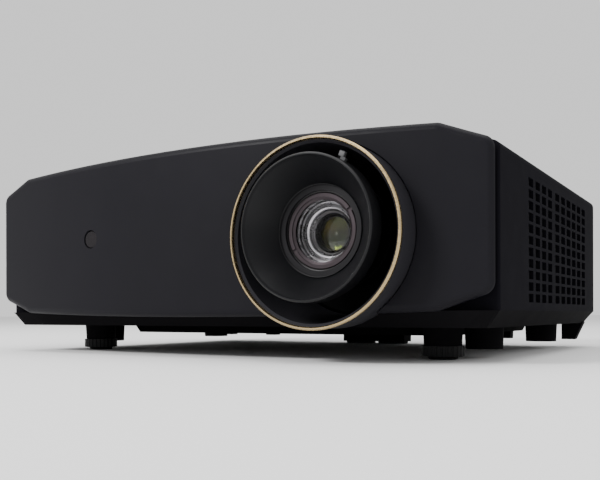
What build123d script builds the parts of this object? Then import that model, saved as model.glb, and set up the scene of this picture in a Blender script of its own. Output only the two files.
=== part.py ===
"""A home-cinema projector: a wide low box with a bowed, bevelled fascia, a big round lens surround
with a metal trim ring, ventilated side walls, two screw feet in front and one wide foot behind.

Millimetres. X runs to the right as seen from the front, Y runs from the lens to the rear, Z is up.
The origin is on the table, under the middle of the overall box. Sub-parts are written to parts/.
"""
from build123d import *
from math import atan, degrees, pi, tan
import os

# ---------------------------------------------------------------- driving dimensions: body
body_width = 405.0
body_depth = 329.0        # middle of the fascia to the rear face
body_top = 142.2          # crown of the top face above the table
lens_reach = 22.4         # the focus hood stands this far ahead of the fascia's middle
fascia_bow = 14.1         # how far the fascia's ends lie behind its middle
top_crown = 3.6           # drop of the top face from the middle to the shoulders
shoulder_run = 31.3       # the sloping shoulders, across and down
shoulder_drop = 12.1
chin_run = 32.5           # the fascia's sloping lower corners
chin_rise = 11.0
chin_crown = 3.2          # rise of the fascia's lower edge from the middle to the chin corners
fascia_low = 27.5         # the fascia's lower edge, at the middle
fascia_wall = 3.0
fascia_back = 16.4        # rear plane of the fascia's rim, behind its front middle
fascia_corner = 8.0       # rounded corners of the fascia's outline
fascia_round = 4.5        # rounding of its rim
hole_bevel = 0.8          # bevelled edge where the lens surround comes through
seam_gap = 0.3            # clearance between mating covers
neck_inset = fascia_wall + seam_gap
neck_wall = 2.4
shell_front = 25.0        # where the full-size cover begins, behind the fascia's front middle
shell_wall = 2.6
pan_lead = fascia_back    # the pan begins right behind the fascia
parting_z = 31.2          # where the top cover meets the base pan
base_z = 21.0             # underside of the base pan
base_taper = 8.5          # how far the pan's walls lean in
base_wall = 2.6
shoulder_round = 5.0      # rounding along the cover's shoulders, and of its leading edge
lead_round = 1.8
rear_corner = 8.0         # rounding all round the rear end
well_z = 14.2             # underside of the pan's deeper middle
well_left = 132.0         # from the middle to the well's ends
well_right = 150.0
well_front = 95.0
well_back = 300.0
well_taper = 3.0
well_rim = 3.4            # from the well's outer edge to the inside of its wall

# ---------------------------------------------------------------- driving dimensions: lens
ring_x = 102.2            # centre of the lens surround
ring_z = 77.0
surround_r = 56.8
surround_reach = 11.6     # the surround stands ahead of the fascia's middle
surround_end = 43.0
mouth_r = 53.6            # inside of the surround at its mouth, and at its rear end
throat_r = 48.0
trim_outer_r = 57.4
trim_inner_r = 55.4
trim_depth = 2.6
lens_rise = 2.6           # the lens stands raised by its shift screw
hood_r = 43.7             # focus hood: outside of its lip
hood_lip_r = 41.4
hood_throat_r = 28.4
hood_end = 28.0
hood_neck_r = 32.5
barrel_r = 27.9
barrel_bore_r = 24.3
barrel_front = -1.0
barrel_end = 96.0
turn_clearance = 0.08     # radial clearance of the turning and sliding fits
retainer_r = 23.4
retainer_bore_r = 20.6
element_r = 19.4
pupil_r = 10.4
zoom_ring_front = 29.0
zoom_ring_end = 44.0
zoom_ring_r = 33.5
lever_r = 48.6            # tip of the zoom lever
lever_angle = 69.0        # from +X towards +Z, seen from the front
lever_y = -5.4            # its front, behind the fascia's front middle
lever_wide = 3.6
tab_angle = 61.5          # of the focus tab
shield_r = 49.0           # black disc that closes the view past the hood
shift_down = 6.1          # travel of the lens below where it rests, and to each side
shift_side = 2.4

# ---------------------------------------------------------------- driving dimensions: feet, mounts
foot_x = 152.0
foot_y = 74.0             # behind the fascia's front middle
knob_r = 13.6
knob_low = 2.0
knob_top = 8.7
stud_r = 4.0
insert_wall = 1.6
foot_boss_r = 12.2
boss_x = 170.0
boss_front_y = 104.0
boss_pitch_y = 162.0
boss_z = 6.0
boss_r = 12.2
mount_hole_r = 2.1
rear_foot_half = 33.0
rear_foot_y = 308.0
rear_foot_depth = 18.0
pad_height = 2.0

# ---------------------------------------------------------------- driving dimensions: side grilles
slot_rows = 11
slot_pitch_z = 7.4
slot_high = 5.5
slot_pitch_front = 18.2
slot_long_front = 12.4
slot_pitch_rear = 20.0
slot_long_rear = 14.0
front_slots = 4
rear_slots = 6
post_extra = 4.0          # the wide post between the two blocks of slots
grille_front = 84.0       # behind the fascia's front middle
grille_low = 32.9
grille_margin = 3.6
grille_thick = 2.6

# ---------------------------------------------------------------- derived places
half_width = body_width / 2
overall_depth = lens_reach + body_depth
front = lens_reach - overall_depth / 2          # Y of the fascia's front middle
rear = front + body_depth
shoulder_x = half_width - shoulder_run
shoulder_z = body_top - top_crown - shoulder_drop
chin_x = half_width - chin_run
chin_z = fascia_low + chin_crown + chin_rise
lens_z = ring_z + lens_rise
bow_r = (half_width**2 + fascia_bow**2) / (2 * fascia_bow)
rear_flange = 8.0                               # the cover turns in this deep at the rear
panel_y = rear - rear_flange                    # outer face of the recessed rear panel
panel_wall = 2.0
panel_inset = shell_wall + 0.2

os.makedirs("parts", exist_ok=True)


def save(piece, name):
    """Labels a finished piece and writes it as parts/name.step."""
    piece.part.label = name
    export_step(piece.part, f"parts/{name}.step")


def facing(y):
    """The plane at depth y, seen from the front: local x is X, local y is Z. A negative extrude goes back."""
    return Plane(origin=(0, y, 0), x_dir=(1, 0, 0), z_dir=(0, -1, 0))


def turning(x, z):
    """The upright plane through an axis along Y at x, z: local x is Y and local y is the radius."""
    return Plane(origin=(x, 0, z), x_dir=(0, 1, 0), z_dir=(1, 0, 0))


def turned(points, x, z):
    """A solid of revolution round an axis along Y, from (depth behind the fascia's middle, radius) points."""
    with BuildPart() as solid:
        with BuildSketch(turning(x, z)):
            with BuildLine():
                Polyline([(front + depth, radius) for depth, radius in points], close=True)
            make_face()
        revolve(axis=Axis((x, 0, z), (0, 1, 0)))
    return solid


def crown_drop(x):
    """How far the crowned top lies below its middle at x."""
    radius = (shoulder_x**2 + top_crown**2) / (2 * top_crown)
    return radius - (radius**2 - x**2) ** 0.5


def shell_face(inset, low):
    """The cover's cross-section, inset from the outside and open downwards to low."""
    wide, high = half_width - inset, body_top - inset
    edge = shoulder_x - inset * tan(atan(shoulder_drop / shoulder_run) / 2)
    side = shoulder_z - inset * tan((pi / 2 - atan(shoulder_drop / shoulder_run)) / 2)
    with BuildSketch() as face:
        with BuildLine():
            ThreePointArc((-edge, high - top_crown), (0, high), (edge, high - top_crown))
            Polyline((edge, high - top_crown), (wide, side), (wide, low), (-wide, low), (-wide, side),
                     (-edge, high - top_crown))
        make_face()
    return face.sketch


def fascia_face(inset):
    """The fascia's outline, inset from its outside."""
    with BuildSketch() as face:
        with BuildLine():
            top, low = body_top - top_crown, fascia_low + chin_crown
            ThreePointArc((-shoulder_x, top), (0, body_top), (shoulder_x, top))
            Polyline((shoulder_x, top), (half_width, shoulder_z), (half_width, chin_z), (chin_x, low))
            ThreePointArc((chin_x, low), (0, fascia_low), (-chin_x, low))
            Polyline((-chin_x, low), (-half_width, chin_z), (-half_width, shoulder_z), (-shoulder_x, top))
        make_face()
        if inset:
            offset(amount=-inset, kind=Kind.INTERSECTION)
    return face.sketch


def bowed_block(depth):
    """Everything behind the bowed front surface moved back by depth, seen from above."""
    with BuildPart() as block:
        with BuildSketch():
            with BuildLine():
                end = front + fascia_bow + depth
                ThreePointArc((-half_width - 9, end + 1.3), (0, front + depth), (half_width + 9, end + 1.3))
                Polyline((half_width + 9, end + 1.3), (half_width + 9, rear), (-half_width - 9, rear),
                         (-half_width - 9, end + 1.3))
            make_face()
        extrude(amount=body_top + 10)
    return block.part


# ---------------------------------------------------------------- front fascia, surround, trim, window
window_x, window_z, window_r = -93.0, 85.1, 6.8

with BuildPart() as fascia_hollow:
    with BuildSketch(facing(front + fascia_back + 1)):
        add(fascia_face(fascia_wall))
    extrude(amount=fascia_back)
    add(bowed_block(fascia_wall), mode=Mode.INTERSECT)

with BuildPart() as front_fascia:
    with BuildSketch(facing(front + fascia_back)):
        add(fascia_face(0))
    extrude(amount=fascia_back + 1)
    fillet(front_fascia.edges().filter_by(Axis.Y), fascia_corner)
    add(bowed_block(0), mode=Mode.INTERSECT)
    bowed_face = front_fascia.faces().filter_by(GeomType.CYLINDER).sort_by(SortBy.AREA)[-1]
    fillet(bowed_face.outer_wire().edges(), fascia_round)
    add(fascia_hollow.part, mode=Mode.SUBTRACT)
    with BuildSketch(facing(front + fascia_back + 1)):
        with Locations((ring_x, ring_z)):
            Circle(surround_r + seam_gap / 3)
        with Locations((window_x, window_z)):
            Circle(window_r)
    extrude(amount=fascia_back + 2, mode=Mode.SUBTRACT)
    hole_edges = front_fascia.edges().filter_by(lambda e: e.length > 4 * surround_r)
    hole_edges = hole_edges.filter_by(lambda e: abs(e.center().X - ring_x) < seam_gap * 10)
    chamfer(hole_edges.sort_by(Axis.Y)[0], hole_bevel)
save(front_fascia, "front_fascia")

lens_surround = turned(
    [
        (-surround_reach, mouth_r + 1.6), (-surround_reach, surround_r), (pan_lead - 1.0, surround_r),
        (pan_lead - 1.0, surround_r - 2.4), (surround_end, throat_r + 2.4), (surround_end, throat_r),
        (-surround_reach + 3.0, mouth_r), (-surround_reach + 1.2, mouth_r),
    ],
    ring_x, ring_z,
)
save(lens_surround, "lens_surround")

gold_trim_ring = turned(
    [
        (-surround_reach - trim_depth, trim_inner_r + 0.5), (-surround_reach - trim_depth, trim_outer_r - 0.6),
        (-surround_reach - trim_depth + 0.7, trim_outer_r), (-surround_reach, trim_outer_r),
        (-surround_reach, trim_inner_r), (-surround_reach - trim_depth + 0.7, trim_inner_r),
    ],
    ring_x, ring_z,
)
save(gold_trim_ring, "gold_trim_ring")

window_face = bow_r - (bow_r**2 - window_x**2) ** 0.5
ir_window = turned(
    [
        (window_face + 1.0, 0), (window_face + 1.0, window_r - 0.9), (window_face + 1.5, window_r - 0.2),
        (window_face + 6.0, window_r - 0.2), (window_face + 6.0, 0),
    ],
    window_x, window_z,
)
save(ir_window, "ir_window")

# ---------------------------------------------------------------- top cover
grille_z_span = (slot_rows - 1) * slot_pitch_z + slot_high
front_block = front_slots * slot_pitch_front
rear_block = rear_slots * slot_pitch_rear
grille_y_span = front_block + rear_block + post_extra + 2 * grille_margin
grille_mid_y = front + grille_front + grille_y_span / 2
grille_mid_z = grille_low + grille_z_span / 2 + grille_margin
grille_height = grille_z_span + 2 * grille_margin
dial_bay = (64.0, 30.0)
dial_bay_y = front + 62.0
dial_bay_floor = body_top - 9.0
dial_r = 10.0
dial_spread = 16.0

with BuildPart() as top_cover:
    with BuildSketch(facing(front + shell_front)):
        add(shell_face(0, parting_z))
    extrude(amount=-(body_depth - shell_front))
    fillet(top_cover.edges().filter_by(Axis.Y).filter_by(lambda e: e.center().Z > parting_z + 1), shoulder_round)
    rear_rim = top_cover.edges().group_by(Axis.Y)[-1].filter_by(lambda e: e.center().Z > parting_z + 1)
    fillet(rear_rim, rear_corner)
    front_rim = top_cover.faces().sort_by(Axis.Y)[0].edges().filter_by(lambda e: e.center().Z > parting_z + 1)
    fillet(front_rim, lead_round)
    with BuildSketch(facing(front + shell_front + shell_wall)):
        add(shell_face(shell_wall, parting_z - 10))
    extrude(amount=-(body_depth - shell_front - shell_wall - rear_flange), mode=Mode.SUBTRACT)
    with BuildSketch(facing(rear - rear_flange - 1)):
        add(shell_face(rear_corner + 1.5, parting_z - 10))
    extrude(amount=-rear_flange - 2, mode=Mode.SUBTRACT)
    with BuildSketch(facing(front + shell_front + 1)):
        add(fascia_face(neck_inset))
    extrude(amount=shell_front - fascia_back + 1)
    with BuildSketch(facing(front + shell_front + shell_wall + 1)):
        add(fascia_face(neck_inset + neck_wall))
    extrude(amount=body_depth, mode=Mode.SUBTRACT)
    with BuildSketch(facing(front + shell_front + shell_wall + 1)):
        with Locations((0, parting_z - 25)):
            Rectangle(body_width + 20, 50)
        with Locations((ring_x, ring_z)):
            Circle(surround_r + 0.6)
    extrude(amount=body_depth, mode=Mode.SUBTRACT)
    with BuildSketch(Plane.YZ.offset(-half_width - 1)):
        with Locations((grille_mid_y, grille_mid_z)):
            Rectangle(grille_y_span + 0.1, grille_height + 0.1)
    extrude(amount=body_width + 2, mode=Mode.SUBTRACT)
    with BuildSketch(Plane.XY.offset(dial_bay_floor - 2)):
        with Locations((ring_x, dial_bay_y)):
            RectangleRounded(dial_bay[0] + 4, dial_bay[1] + 4, 6)
    extrude(amount=8.5)
    with BuildSketch(Plane.XY.offset(dial_bay_floor)):
        with Locations((ring_x, dial_bay_y)):
            RectangleRounded(dial_bay[0], dial_bay[1], 4)
    extrude(amount=20, mode=Mode.SUBTRACT)
    with BuildSketch(Plane.XY.offset(dial_bay_floor - 3)):
        with Locations((ring_x - dial_spread, dial_bay_y), (ring_x + dial_spread, dial_bay_y)):
            Circle(3.3)
    extrude(amount=5, mode=Mode.SUBTRACT)
save(top_cover, "top_cover")


# ---------------------------------------------------------------- side grilles and what is behind them
def side_plate(side, inner, thick, y_span, height):
    """A plate standing against a side wall: side is +1 right or -1 left, inner its distance from the outside."""
    with BuildPart() as plate:
        with BuildSketch(Plane.YZ.offset(side * (half_width - inner) - (thick if side > 0 else 0))):
            with Locations((grille_mid_y, grille_mid_z)):
                Rectangle(y_span, height)
        extrude(amount=thick)
    return plate


with BuildPart() as side_grilles:
    for side in (-1, 1):
        add(side_plate(side, 0, grille_thick, grille_y_span, grille_height).part)
    start = grille_mid_y - grille_y_span / 2 + grille_margin
    with BuildSketch(Plane.YZ.offset(-half_width - 1)):
        for first, count, pitch, long in (
            (start, front_slots, slot_pitch_front, slot_long_front),
            (start + front_block + post_extra, rear_slots, slot_pitch_rear, slot_long_rear),
        ):
            with Locations((first + count * pitch / 2, grille_mid_z)):
                with GridLocations(pitch, slot_pitch_z, count, slot_rows):
                    RectangleRounded(long, slot_high, 0.6)
    extrude(amount=body_width + 2, mode=Mode.SUBTRACT)
save(side_grilles, "side_grilles")
for side, name, thick in ((1, "intake_filter", 3.0), (-1, "exhaust_mesh", 1.0)):
    save(side_plate(side, shell_wall, thick, grille_y_span + 6, grille_height + 2), name)

# ---------------------------------------------------------------- base pan
pan_front = front + pan_lead
pan_corner = shell_front - pan_lead
pan_depth = rear - pan_front
lean = degrees(atan(base_taper / (parting_z - base_z)))
well_lean = degrees(atan(well_taper / (base_z - well_z)))
foot_places = [(-foot_x, front + foot_y), (foot_x, front + foot_y)]
mount_places = [(x, front + boss_front_y + y) for x in (-boss_x, boss_x) for y in (0, boss_pitch_y)]
boss_flare = 0.7
insert_r = stud_r + insert_wall
leg_z = 6.6
leg_spots = [(x, width) for side in (-1, 1) for x, width in ((side * 127.0, 12.0), (side * 183.5, 11.0))]


def pan_outline(inset):
    """The pan's plan: a rectangle with cut front corners, inset from the outside."""
    with BuildSketch() as plan:
        with Locations((0, pan_front + pan_depth / 2)):
            Rectangle(body_width - 2 * inset, pan_depth - 2 * inset)
        chamfer(plan.vertices().group_by(Axis.Y)[0], pan_corner)
        fillet(plan.vertices().group_by(Axis.Y)[-1], rear_corner - min(inset, 2))
    return plan.sketch


with BuildPart() as base_pan:
    with BuildSketch(Plane.XY.offset(parting_z)):
        add(pan_outline(0))
    extrude(amount=-(parting_z - base_z), taper=lean)
    with BuildSketch(Plane.XY.offset(base_z)):
        with Locations(((well_right - well_left) / 2, front + (well_front + well_back) / 2)):
            Rectangle(well_left + well_right, well_back - well_front)
    extrude(amount=-(base_z - well_z), taper=well_lean)
    for places, low, radius in ((foot_places, knob_top + 0.2, foot_boss_r), (mount_places, boss_z, boss_r)):
        with BuildSketch(Plane.XY.offset(low)):
            with Locations(*places):
                Circle(radius)
        extrude(amount=base_z + 1 - low, taper=-degrees(atan(boss_flare / (base_z - low))))
    for x, width in leg_spots:
        with BuildSketch(facing(rear - base_taper - 12.0)):
            with BuildLine():
                lo, hi = x - width / 2, x + width / 2
                lean_out = 7.0 if abs(x) > foot_x else 1.0
                top_lo, top_hi = (lo, hi + lean_out) if x > 0 else (lo - lean_out, hi)
                Polyline((lo, leg_z), (hi, leg_z), (top_hi, base_z + 1), (top_lo, base_z + 1), close=True)
            make_face()
        extrude(amount=-10.0)
    with BuildSketch(Plane.XY.offset(pad_height)):
        with Locations((0, front + rear_foot_y)):
            Rectangle(2 * rear_foot_half, rear_foot_depth)
    extrude(amount=base_z - pad_height + 1)
    with BuildSketch(Plane.XY.offset(parting_z + 1)):
        add(pan_outline(base_wall))
    extrude(amount=-(parting_z + 1 - base_z - base_wall), taper=lean, mode=Mode.SUBTRACT)
    with BuildSketch(Plane.XY.offset(base_z + base_wall + 0.1)):
        with Locations(((well_right - well_left) / 2, front + (well_front + well_back) / 2)):
            Rectangle(well_left + well_right - 2 * well_rim, well_back - well_front - 2 * well_rim)
    extrude(amount=-(base_z - well_z) - 0.1, taper=well_lean, mode=Mode.SUBTRACT)
    add(turned([(0, 0), (0, surround_r - 2.0), (pan_lead, surround_r - 2.0), (surround_end + 0.4, throat_r + 2.8),
                (surround_end + 0.4, 0)], ring_x, ring_z).part, mode=Mode.SUBTRACT)
    with BuildSketch(Plane.XY.offset(-1)):
        with Locations(*foot_places):
            Circle(insert_r)
        with Locations(*mount_places):
            Circle(mount_hole_r + insert_wall)
    extrude(amount=base_z + base_wall + 2, mode=Mode.SUBTRACT)
    with BuildSketch(Plane.XY.offset(base_z + base_wall)):
        with Locations(*foot_places):
            Circle(insert_r + 3.0)
            Circle(insert_r, mode=Mode.SUBTRACT)
    extrude(amount=9.0)
save(base_pan, "base_pan")


with BuildPart() as threaded_inserts:
    for places, low, high, outer, bore in (
        (foot_places, knob_top + 0.8, base_z + 11.0, insert_r, stud_r + turn_clearance),
        (mount_places, boss_z, base_z + base_wall, mount_hole_r + insert_wall, mount_hole_r),
    ):
        with BuildSketch(Plane.XY.offset(low)):
            with Locations(*places):
                Circle(outer)
                Circle(bore, mode=Mode.SUBTRACT)
        extrude(amount=high - low)
save(threaded_inserts, "threaded_inserts")

# ---------------------------------------------------------------- feet
def foot_wheel(place):
    """A knurled thumb wheel with its threaded stud."""
    with BuildPart() as wheel:
        with BuildSketch(Plane.XY.offset(knob_low)):
            with Locations(place):
                Circle(knob_r)
                with PolarLocations(knob_r + 0.5, 24):
                    Circle(1.05, mode=Mode.SUBTRACT)
        extrude(amount=knob_top - knob_low)
        with BuildSketch(Plane.XY.offset(knob_low)):
            with Locations(place):
                Circle(stud_r)
        extrude(amount=base_z + 21.0 - knob_low)
        with BuildSketch(Plane.XY.offset(knob_low)):
            with Locations(place):
                Circle(2.2)
        extrude(amount=3.0, mode=Mode.SUBTRACT)
    return wheel


def foot_pad(place):
    """The rubber sole, with the pin that snaps into the wheel."""
    with BuildPart() as pad:
        with BuildSketch(Plane.XY):
            with Locations(place):
                Circle(9.6)
        extrude(amount=knob_low - 0.15)
        fillet(pad.edges().group_by(Axis.Z)[0], 1.2)
        with BuildSketch(Plane.XY.offset(knob_low - 0.15)):
            with Locations(place):
                Circle(2.0)
        extrude(amount=2.8)
    return pad


for place, word in zip(foot_places, ("left", "right")):
    save(foot_wheel(place), f"{word}_foot_wheel")
    save(foot_pad(place), f"{word}_foot_pad")

with BuildPart() as rear_foot_pads:
    with BuildSketch(Plane.XY):
        with Locations((-rear_foot_half / 2 - 1, front + rear_foot_y), (rear_foot_half / 2 + 1, front + rear_foot_y)):
            RectangleRounded(rear_foot_half - 5, rear_foot_depth - 4, 3)
    extrude(amount=pad_height)
save(rear_foot_pads, "rear_foot_pads")


# ---------------------------------------------------------------- rear panel and its sockets
board_top = 34.0
board_thick = 1.6
hdmi_body, lan_body, usb_body, serial_body = (15.4, 6.2), (16.0, 13.2), (14.4, 7.0), (25.0, 11.0)
hdmi_places = [(118.0, board_top + hdmi_body[1] / 2), (92.0, board_top + hdmi_body[1] / 2)]
lan_place = (66.0, board_top + lan_body[1] / 2)
usb_place = (42.0, board_top + usb_body[1] / 2)
serial_place = (8.0, board_top + serial_body[1] / 2)
jack_r = 3.5
jack_places = [(-12.0, board_top + jack_r), (-22.0, board_top + jack_r)]
inlet_place = (-150.0, 50.0)
inlet_body = (27.2, 19.2)
lock_place = (-112.0, 44.0)
light_places = [(58.0, 113.0), (66.0, 113.0), (74.0, 113.0)]
pad_x = 110.0
pad_z = 100.0
pad_step = 12.0
button_gap = 0.35
button_travel = 0.6
buttons = {
    "up": (pad_x, pad_z + pad_step, 4.2), "down": (pad_x, pad_z - pad_step, 4.2),
    "left": (pad_x - pad_step, pad_z, 4.2), "right": (pad_x + pad_step, pad_z, 4.2),
    "enter": (pad_x, pad_z, 5.0), "power": (pad_x + 40.0, pad_z, 5.5),
}
screw_places = [(x, z) for x in (-182.0, -60.0, 170.0) for z in (38.0, 120.0)]
vent_x, vent_z = -105.0, 98.0


def holed(places, width, height):
    """Rectangles to cut at the given places."""
    for place in places:
        with Locations(place):
            Rectangle(width, height)


with BuildPart() as rear_panel:
    with BuildSketch(facing(panel_y)):
        add(shell_face(panel_inset, parting_z + 0.2))
        with BuildSketch(mode=Mode.SUBTRACT):
            for places, (wide, high) in (
                (hdmi_places, hdmi_body), ([lan_place], lan_body), ([usb_place], usb_body),
                ([serial_place], serial_body), ([inlet_place], inlet_body), ([lock_place], (7.0, 3.0)),
            ):
                holed(places, wide + 0.2, high + 0.2)
            with Locations(*jack_places):
                Circle(jack_r + 0.1)
            with Locations(*light_places):
                Circle(1.4)
            with Locations(*screw_places):
                Circle(1.5)
            for x, z, radius in buttons.values():
                with Locations((x, z)):
                    Circle(radius + button_gap)
            with Locations((vent_x, vent_z)):
                with GridLocations(9.0, 6.2, 12, 6):
                    RectangleRounded(6.6, 3.4, 1.2)
    extrude(amount=panel_wall)
save(rear_panel, "rear_panel")


def slab(x0, x1, y0, y1, z0, z1):
    """A plain block between two corners; y is counted from the fascia's front middle."""
    with BuildPart() as block:
        with Locations(((x0 + x1) / 2, front + (y0 + y1) / 2, (z0 + z1) / 2)):
            Box(x1 - x0, y1 - y0, z1 - z0)
    return block.part


panel_depth = panel_y - front          # outer face of the rear panel
connector_face = panel_depth + 0.4


with BuildPart() as board_sockets:
    for places, body, hollow, deep, back in (
        (hdmi_places, hdmi_body, (14.0, 4.6), 9.0, 11.5), ([lan_place], lan_body, (11.8, 8.0), 10.0, 14.0),
        ([usb_place], usb_body, (12.6, 5.2), 9.5, 13.0),
    ):
        for x, z in places:
            add(slab(x - body[0] / 2, x + body[0] / 2, connector_face - back, connector_face, z - body[1] / 2,
                     z + body[1] / 2))
            add(slab(x - hollow[0] / 2, x + hollow[0] / 2, connector_face - deep, connector_face + 1,
                     z - hollow[1] / 2, z + hollow[1] / 2), mode=Mode.SUBTRACT)
    x, z = serial_place
    add(slab(x - serial_body[0] / 2, x + serial_body[0] / 2, connector_face - 10, connector_face + 4.6,
             z - serial_body[1] / 2, z + serial_body[1] / 2))
save(board_sockets, "board_sockets")

with BuildPart() as jack_sockets:
    with BuildSketch(facing(front + connector_face)):
        with Locations(*jack_places):
            Circle(jack_r)
            Circle(1.8, mode=Mode.SUBTRACT)
    extrude(amount=12)
save(jack_sockets, "jack_sockets")

inlet_deep = 17.0
with BuildPart() as power_inlet:
    x, z = inlet_place
    add(slab(x - 15.5, x + 15.5, panel_depth, panel_depth + 1.6, z - 12, z + 12))
    add(slab(x - inlet_body[0] / 2, x + inlet_body[0] / 2, panel_depth - 22, panel_depth,
             z - inlet_body[1] / 2, z + inlet_body[1] / 2))
    with BuildSketch(facing(front + connector_face + 2)):
        with Locations((x, z)):
            Rectangle(24.6, 16.6)
            chamfer(vertices().group_by(Axis.Y)[-1], 5.0)
    extrude(amount=inlet_deep + 2, mode=Mode.SUBTRACT)
save(power_inlet, "power_inlet")

with BuildPart() as inlet_pins:
    for dx, dz in ((-7.0, -1.5), (0.0, 2.5), (7.0, -1.5)):
        add(slab(x + dx - 1.0, x + dx + 1.0, connector_face - inlet_deep, connector_face - 8, z + dz - 2, z + dz + 2))
save(inlet_pins, "inlet_pins")

with BuildPart() as light_pipes:
    with BuildSketch(facing(panel_y + 0.3)):
        with Locations(*light_places):
            Circle(1.4)
    extrude(amount=8)
save(light_pipes, "light_pipes")

with BuildPart() as panel_screws:
    with BuildSketch(facing(panel_y)):
        with Locations(*screw_places):
            Circle(2.8)
    extrude(amount=-1.6)
    with BuildSketch(facing(panel_y)):
        with Locations(*screw_places):
            Circle(1.5)
    extrude(amount=6)
    with BuildSketch(facing(panel_y + 1.6)):
        with Locations(*screw_places):
            RegularPolygon(1.4, 6)
    extrude(amount=1.0, mode=Mode.SUBTRACT)
save(panel_screws, "panel_screws")

for word, (x, z, radius) in buttons.items():
    with BuildPart() as button:
        with BuildSketch(facing(panel_y + 1.4)):
            with Locations((x, z)):
                Circle(radius)
        extrude(amount=panel_wall + 1.4 + 1.0)
        fillet(button.edges().group_by(Axis.Y)[-1], 0.5)
        with BuildSketch(facing(panel_y - panel_wall - 1.0)):
            with Locations((x, z)):
                Circle(radius + 1.2)
        extrude(amount=1.2)
    save(button, f"{word}_button")


# ---------------------------------------------------------------- lens and its shift carriage
def lens_turned(points):
    """A solid of revolution round the lens axis."""
    return turned(points, ring_x, lens_z)


flange_y = 46.0
plate_thick = 4.0
plate_gap = 0.1
plate_half_x, plate_half_z = 45.0, 40.0
rise_y = flange_y + 2 * plate_thick + plate_gap
guide_y = rise_y + plate_thick + plate_gap
lip = 3.0

lens_barrel = lens_turned([
    (barrel_front, barrel_bore_r), (barrel_front, barrel_r), (flange_y, barrel_r), (flange_y, barrel_r + 9),
    (flange_y + plate_thick, barrel_r + 9), (flange_y + plate_thick, barrel_r), (barrel_end, barrel_r),
    (barrel_end, 14.6), (84.0, 14.6), (84.0, barrel_bore_r),
])
with BuildPart() as barrel_with_plate:
    add(lens_barrel.part)
    with BuildSketch(facing(front + flange_y + plate_thick)):
        with Locations((ring_x, lens_z)):
            Rectangle(2 * plate_half_x, 2 * plate_half_z)
            Circle(barrel_r - 1, mode=Mode.SUBTRACT)
    extrude(amount=-plate_thick)
save(barrel_with_plate, "lens_barrel")

light_shield = lens_turned([
    (zoom_ring_end + 0.4, barrel_r), (zoom_ring_end + 0.4, shield_r), (flange_y, shield_r), (flange_y, barrel_r),
])
save(light_shield, "light_shield")

with BuildPart() as rise_frame:
    with BuildSketch(facing(front + rise_y)):
        with Locations((ring_x, lens_z)):
            Rectangle(2 * plate_half_x + 6, 2 * (plate_half_z + plate_gap + lip))
            Circle(barrel_r + shift_side + 1.2, mode=Mode.SUBTRACT)
    extrude(amount=-plate_thick)
    for way in (-1, 1):
        mid = lens_z + way * (plate_half_z + plate_gap + lip / 2)
        add(slab(ring_x - plate_half_x - 3, ring_x + plate_half_x + 3, flange_y + plate_thick, rise_y, mid - lip / 2,
                 mid + lip / 2))
save(rise_frame, "rise_frame")

guide_half = plate_half_x + 3 + plate_gap
with BuildPart() as shift_guide:
    with BuildSketch(facing(front + guide_y)):
        with Locations((ring_x, (base_z + base_wall + lens_z + plate_half_z + 8) / 2)):
            Rectangle(2 * (guide_half + lip), lens_z + plate_half_z + 8 - base_z - base_wall)
        with Locations((ring_x, lens_z)):
            Circle(barrel_r + shift_down + 2.2, mode=Mode.SUBTRACT)
    extrude(amount=-plate_thick)
    for way in (-1, 1):
        mid = ring_x + way * (guide_half + lip / 2)
        add(slab(mid - lip / 2, mid + lip / 2, rise_y, guide_y, base_z + base_wall, lens_z + plate_half_z + 8))
    add(slab(ring_x - 38, ring_x + 38, guide_y, guide_y + 22, base_z + base_wall, base_z + base_wall + 3))
save(shift_guide, "shift_guide")

hood_bore = barrel_r + turn_clearance
focus_hood = lens_turned([
    (-lens_reach + 1.6, hood_lip_r), (-lens_reach, hood_lip_r + 0.9), (-lens_reach, hood_r - 0.8),
    (-lens_reach + 0.8, hood_r), (-9.0, hood_r), (-7.0, hood_r - 4.6), (18.0, hood_neck_r + 1.0),
    (hood_end, hood_neck_r), (hood_end, hood_bore), (barrel_front - 0.4, hood_bore), (barrel_front - 0.6, hood_throat_r),
])
save(focus_hood, "focus_hood")


def spoke(angle, low, high, y0, y1, wide):
    """A radial tab on the lens at an angle, from one radius to another."""
    with BuildPart() as tab:
        with BuildSketch(facing(front + y0)):
            with Locations(Location((ring_x, lens_z), angle)):
                with Locations(((low + high) / 2, 0)):
                    Rectangle(high - low, wide)
        extrude(amount=-(y1 - y0))
    return tab


with BuildPart() as focus_tab:
    add(spoke(tab_angle, hood_r - 0.8, hood_r + 1.8, -13.0, -10.2, 3.2).part)
    add(focus_hood.part, mode=Mode.SUBTRACT)
save(focus_tab, "focus_tab")

zoom_ring = lens_turned([
    (zoom_ring_front, barrel_r + turn_clearance), (zoom_ring_front, zoom_ring_r), (zoom_ring_end, zoom_ring_r),
    (zoom_ring_end, barrel_r + turn_clearance),
])
arm_low, arm_high = hood_r - 4.2, hood_r - 1.4
with BuildPart() as zoom_ring_and_lever:
    add(zoom_ring.part)
    add(spoke(lever_angle, zoom_ring_r - 0.6, arm_high, zoom_ring_front + 2, zoom_ring_front + 8, 6.0).part)
    add(spoke(lever_angle, arm_low, arm_high, lever_y, zoom_ring_front + 8, lever_wide).part)
    add(spoke(lever_angle, arm_low, lever_r, lever_y, lever_y + 2.6, lever_wide).part)
save(zoom_ring_and_lever, "zoom_ring")

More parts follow.
